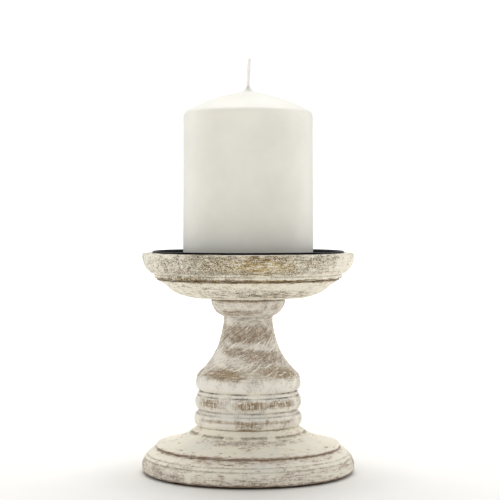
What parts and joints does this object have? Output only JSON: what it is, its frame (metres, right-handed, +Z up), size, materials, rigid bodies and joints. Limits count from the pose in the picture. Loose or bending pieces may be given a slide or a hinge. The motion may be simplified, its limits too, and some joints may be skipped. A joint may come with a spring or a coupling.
{
  "type": "wooden pillar candle holder",
  "caption": "Turned wooden pedestal candle holder with a baluster stem, a dished cup, a black metal drip pan and a lift-out domed pillar candle.",
  "frame": {"origin": "on the table, under the turning axis, at the underside of the felt pads", "axes": "+Z up along the turning axis; the grain of the foot and of the cup runs along X"},
  "size_m": [0.1242, 0.1242, 0.2411],
  "materials": {
    "whitewashed_wood": "brushed whitewash over pale brown wood, rubbed back along the edges",
    "black_steel": "semi-gloss black enamel",
    "zinc_steel": "dull zinc plating",
    "felt": "dense brown felt",
    "wax": "smooth white wax, slightly translucent",
    "cotton": "waxed braided cotton"
  },
  "bodies": {
    "holder": {"foot": "whitewashed_wood", "stem": "whitewashed_wood", "cup": "whitewashed_wood", "drip_pan": "black_steel", "cup_screw": "zinc_steel", "foot_screw": "zinc_steel", "foot_washer": "zinc_steel", "felt_pads": "felt"},
    "candle": {"candle_wax": "wax", "candle_wick": "cotton"}
  },
  "joints": [
    {"name": "candle_lift", "type": "slide", "parent": "holder", "child": "candle", "axis": [0, 0, 1], "range_m": [0, 0.12]}
  ]
}
